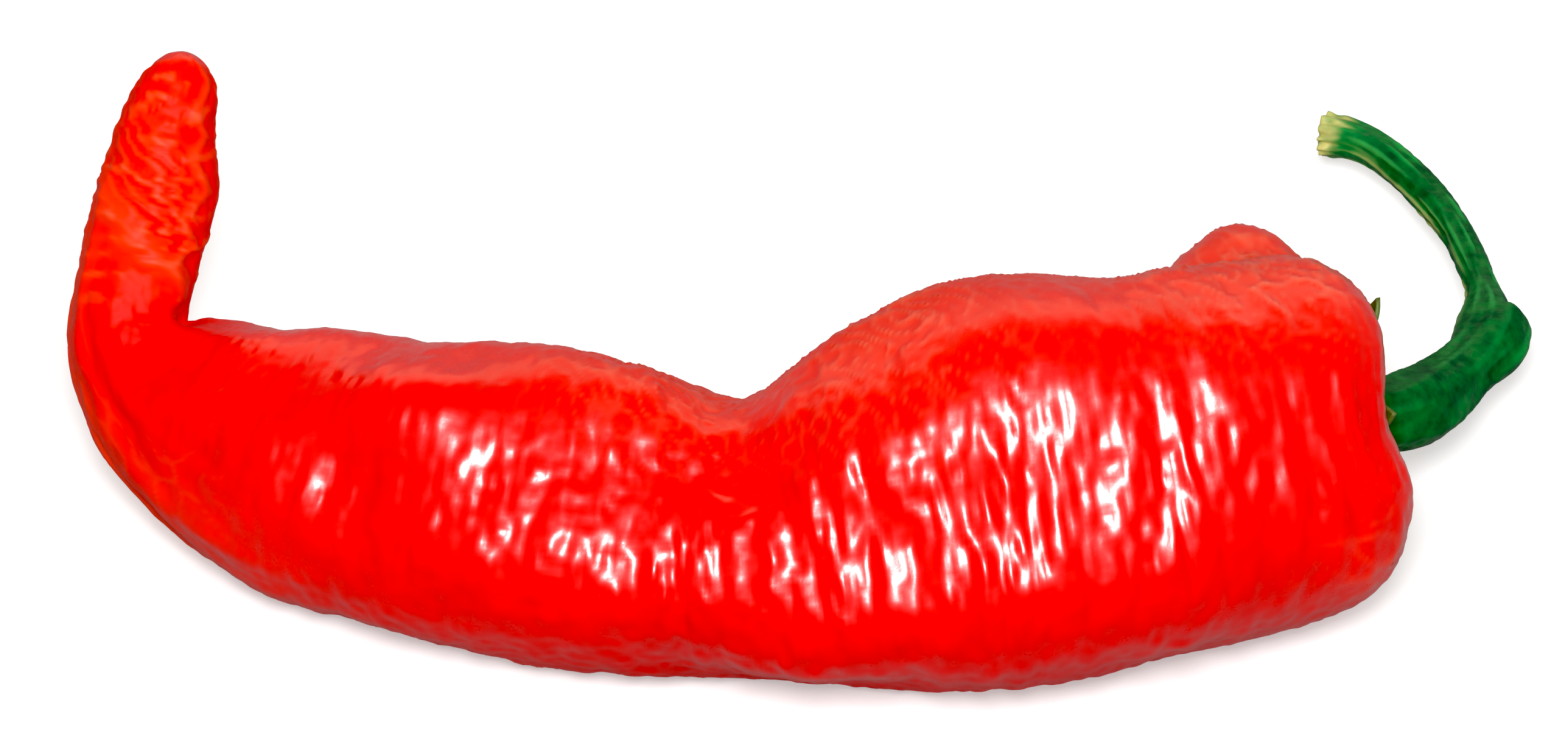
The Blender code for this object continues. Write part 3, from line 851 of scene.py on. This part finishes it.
def aim(thing, place, target):
    """Puts a lamp or camera at a place and turns it to look at the target, upright."""
    thing.location = Vector(place)
    thing.rotation_mode = "QUATERNION"
    thing.rotation_quaternion = (Vector(target) - Vector(place)).to_track_quat("-Z", "Y")


def add_object(name, data):
    """Puts a lamp, a camera or the floor in the scene under its name."""
    thing = bpy.data.objects.new(name, data)
    bpy.context.scene.collection.objects.link(thing)
    return thing


def make_lamp(name, target, power):
    """A soft rectangular lamp that looks at the target from the side that LAMPS gives."""
    distance, azimuth, elevation, size, colour = LAMPS[name]
    a, e = math.radians(azimuth), math.radians(elevation)
    back = np.array((math.sin(a) * math.cos(e), -math.cos(a) * math.cos(e), math.sin(e)))
    data = bpy.data.lights.new(name + "_softbox", "AREA")
    data.shape = "RECTANGLE"
    data.size, data.size_y = size
    data.energy = power
    data.color = colour
    aim(add_object(name + "_softbox", data), target + back * distance, target)


def make_floor(settings):
    """A square sheet of paper just under the pepper."""
    half = settings.floor_size / 2
    corners = [(-half, -half), (half, -half), (half, half), (-half, half)]
    mesh = bpy.data.meshes.new("floor")
    mesh.from_pydata([(x, y, -settings.floor_gap) for x, y in corners], [], [(0, 1, 2, 3)])
    mesh.materials.append(floor_finish(settings))
    add_object("floor", mesh)


def make_world(settings):
    """A white room: white to look at, gentler as light, with one level in front and one behind."""
    world = bpy.data.worlds.new("white_room")
    bpy.context.scene.world = world
    world.use_nodes = True
    tree = world.node_tree
    shade = tree.nodes["Background"]
    shade.inputs["Color"].default_value = (*WHITE, 1.0)
    place = tree.nodes.new("ShaderNodeTexCoord")
    split = tree.nodes.new("ShaderNodeSeparateXYZ")
    spread = tree.nodes.new("ShaderNodeMapRange")
    levels = (-0.6, 0.7, settings.room_front, settings.room_back)
    for name, level in zip(("From Min", "From Max", "To Min", "To Max"), levels):
        spread.inputs[name].default_value = level
    path = tree.nodes.new("ShaderNodeLightPath")
    seen = tree.nodes.new("ShaderNodeMix")
    seen.data_type = "FLOAT"
    tree.links.new(place.outputs["Generated"], split.inputs["Vector"])
    tree.links.new(split.outputs["Y"], spread.inputs["Value"])
    tree.links.new(path.outputs["Is Camera Ray"], seen.inputs["Factor"])
    tree.links.new(spread.outputs["Result"], seen.inputs["A"])
    seen.inputs["B"].default_value = 1.0
    tree.links.new(seen.outputs["Result"], shade.inputs["Strength"])


def make_camera(settings, target):
    """A long lens that looks square on to the growth plane."""
    data = bpy.data.cameras.new("camera")
    data.lens = settings.lens
    data.sensor_width = 36.0
    data.clip_start, data.clip_end = 0.05, 50.0
    camera = add_object("camera", data)
    back = np.array((0.0, -math.sin(LEAN), math.cos(LEAN)))
    aim(camera, target + back * settings.camera_distance, target)
    bpy.context.scene.camera = camera


def make_stage(settings):
    """Floor, room, lamps and camera, and a view whose darkest tones are a little deeper."""
    make_floor(settings)
    make_world(settings)
    target = to_frame(np.array((settings.look_u / MM, settings.look_v / MM, 0.0)))
    make_lamp("key", target, settings.key_power)
    make_lamp("top", target, settings.top_power)
    make_camera(settings, target)
    view = bpy.context.scene.view_settings
    view.view_transform = "Standard"
    view.use_curve_mapping = True
    view.curve_mapping.black_level = (settings.black_level,) * 3
    view.curve_mapping.update()


# ---------------------------------------------------------------- settings, operators, panel

class PodSettings(bpy.types.PropertyGroup):
    """Sizes and colour of the pod."""

    rings: bpy.props.IntProperty(
        name="Rings", description="Rings along the skin", default=518, min=40
    )
    columns: bpy.props.IntProperty(
        name="Columns", description="Points round the skin", default=190, min=24
    )
    wrinkle_depth: bpy.props.FloatProperty(
        name="Wrinkle depth", description="Scale of every wrinkle", default=0.001,
        unit="LENGTH", precision=5,
    )
    grain_depth: bpy.props.FloatProperty(
        name="Grain depth", description="Height of the finest grain", default=0.000008,
        unit="LENGTH", precision=6,
    )
    colour: bpy.props.FloatVectorProperty(
        name="Skin colour", description="Red of the ripe skin", default=(0.84, 0.0022, 0.0012),
        size=3, subtype="COLOR", min=0.0, max=1.0,
    )


class CalyxSettings(bpy.types.PropertyGroup):
    """Fineness of the calyx."""

    rings: bpy.props.IntProperty(
        name="Rings", description="Rings from middle to rim", default=36, min=6
    )
    columns: bpy.props.IntProperty(
        name="Columns", description="Points round the rim", default=288, min=24
    )


class StalkSettings(bpy.types.PropertyGroup):
    """Fineness of the stalk."""

    rings: bpy.props.IntProperty(
        name="Rings", description="Rings along the stalk", default=300, min=30
    )
    columns: bpy.props.IntProperty(
        name="Columns", description="Points round the stalk", default=72, min=12
    )


class StageSettings(bpy.types.PropertyGroup):
    """Floor, light and camera."""

    floor_size: bpy.props.FloatProperty(
        name="Floor size", description="Side of the floor", default=8.0, unit="LENGTH"
    )
    floor_gap: bpy.props.FloatProperty(
        name="Floor gap", description="How far the floor lies under the pepper", default=0.0001,
        unit="LENGTH",
    )
    floor_colour: bpy.props.FloatVectorProperty(
        name="Floor colour", description="Pale paper", default=(0.66, 0.66, 0.66), size=3,
        subtype="COLOR",
    )
    floor_glow: bpy.props.FloatProperty(
        name="Floor glow", description="Light through the paper", default=0.42
    )
    floor_bounce: bpy.props.FloatProperty(
        name="Floor bounce", description="Share of the paper's light thrown back", default=0.55
    )
    key_power: bpy.props.FloatProperty(
        name="Key power", description="Front lamp", default=15.0, unit="POWER"
    )
    top_power: bpy.props.FloatProperty(
        name="Top power", description="Back lamp", default=3.2, unit="POWER"
    )
    room_front: bpy.props.FloatProperty(
        name="Room, front", description="Room light before the pepper", default=0.50
    )
    room_back: bpy.props.FloatProperty(
        name="Room, back", description="Room light behind the pepper", default=0.45
    )
    black_level: bpy.props.FloatProperty(
        name="Black level", description="Light shown as black", default=0.038
    )
    look_u: bpy.props.FloatProperty(
        name="Look at u", description="Middle of the view along the pepper", default=0.0,
        unit="LENGTH",
    )
    look_v: bpy.props.FloatProperty(
        name="Look at v", description="Middle of the view up the growth plane", default=0.0401,
        unit="LENGTH",
    )
    camera_distance: bpy.props.FloatProperty(
        name="Camera distance", description="Camera to the growth plane", default=1.4,
        unit="LENGTH",
    )
    lens: bpy.props.FloatProperty(
        name="Lens", description="Focal length in millimetres", default=254.35
    )


class ChilliPod(bpy.types.Operator):
    """Make the wrinkled pod"""

    bl_idname = "chilli.pod"
    bl_label = "Pod"

    def execute(self, context):
        make_pod(context.scene.chilli_pod)
        return {"FINISHED"}


class ChilliCalyx(bpy.types.Operator):
    """Make the calyx"""

    bl_idname = "chilli.calyx"
    bl_label = "Calyx"

    def execute(self, context):
        make_calyx(context.scene.chilli_calyx)
        return {"FINISHED"}


class ChilliStalk(bpy.types.Operator):
    """Make the bent stalk"""

    bl_idname = "chilli.stalk"
    bl_label = "Stalk"

    def execute(self, context):
        make_stalk(context.scene.chilli_stalk)
        return {"FINISHED"}


class ChilliStage(bpy.types.Operator):
    """Make the floor, the light and the camera"""

    bl_idname = "chilli.stage"
    bl_label = "Stage"

    def execute(self, context):
        make_stage(context.scene.chilli_stage)
        return {"FINISHED"}


class ChilliPanel(bpy.types.Panel):
    """Lists the settings and operators of the pepper"""

    bl_idname = "VIEW3D_PT_chilli"
    bl_label = "Chilli Pepper"
    bl_space_type = "VIEW_3D"
    bl_region_type = "UI"
    bl_category = "Chilli"

    def draw(self, context):
        scene = context.scene
        groups = (
            ("chilli.pod", scene.chilli_pod),
            ("chilli.calyx", scene.chilli_calyx),
            ("chilli.stalk", scene.chilli_stalk),
            ("chilli.stage", scene.chilli_stage),
        )
        for operator, settings in groups:
            box = self.layout.box()
            for name in settings.__annotations__:
                box.prop(settings, name)
            box.operator(operator)


CLASSES = (
    PodSettings, CalyxSettings, StalkSettings, StageSettings,
    ChilliPod, ChilliCalyx, ChilliStalk, ChilliStage, ChilliPanel,
)
GROUPS = {
    "chilli_pod": PodSettings,
    "chilli_calyx": CalyxSettings,
    "chilli_stalk": StalkSettings,
    "chilli_stage": StageSettings,
}


def register():
    for item in CLASSES:
        bpy.utils.register_class(item)
    for name, group in GROUPS.items():
        setattr(bpy.types.Scene, name, bpy.props.PointerProperty(type=group))


def unregister():
    for name in GROUPS:
        delattr(bpy.types.Scene, name)
    for item in reversed(CLASSES):
        bpy.utils.unregister_class(item)


def main():
    """Makes the stage and every piece."""
    register()
    bpy.ops.chilli.stage()
    bpy.ops.chilli.pod()
    bpy.ops.chilli.calyx()
    bpy.ops.chilli.stalk()
    bpy.context.view_layer.update()


if __name__ == "__main__":
    main()
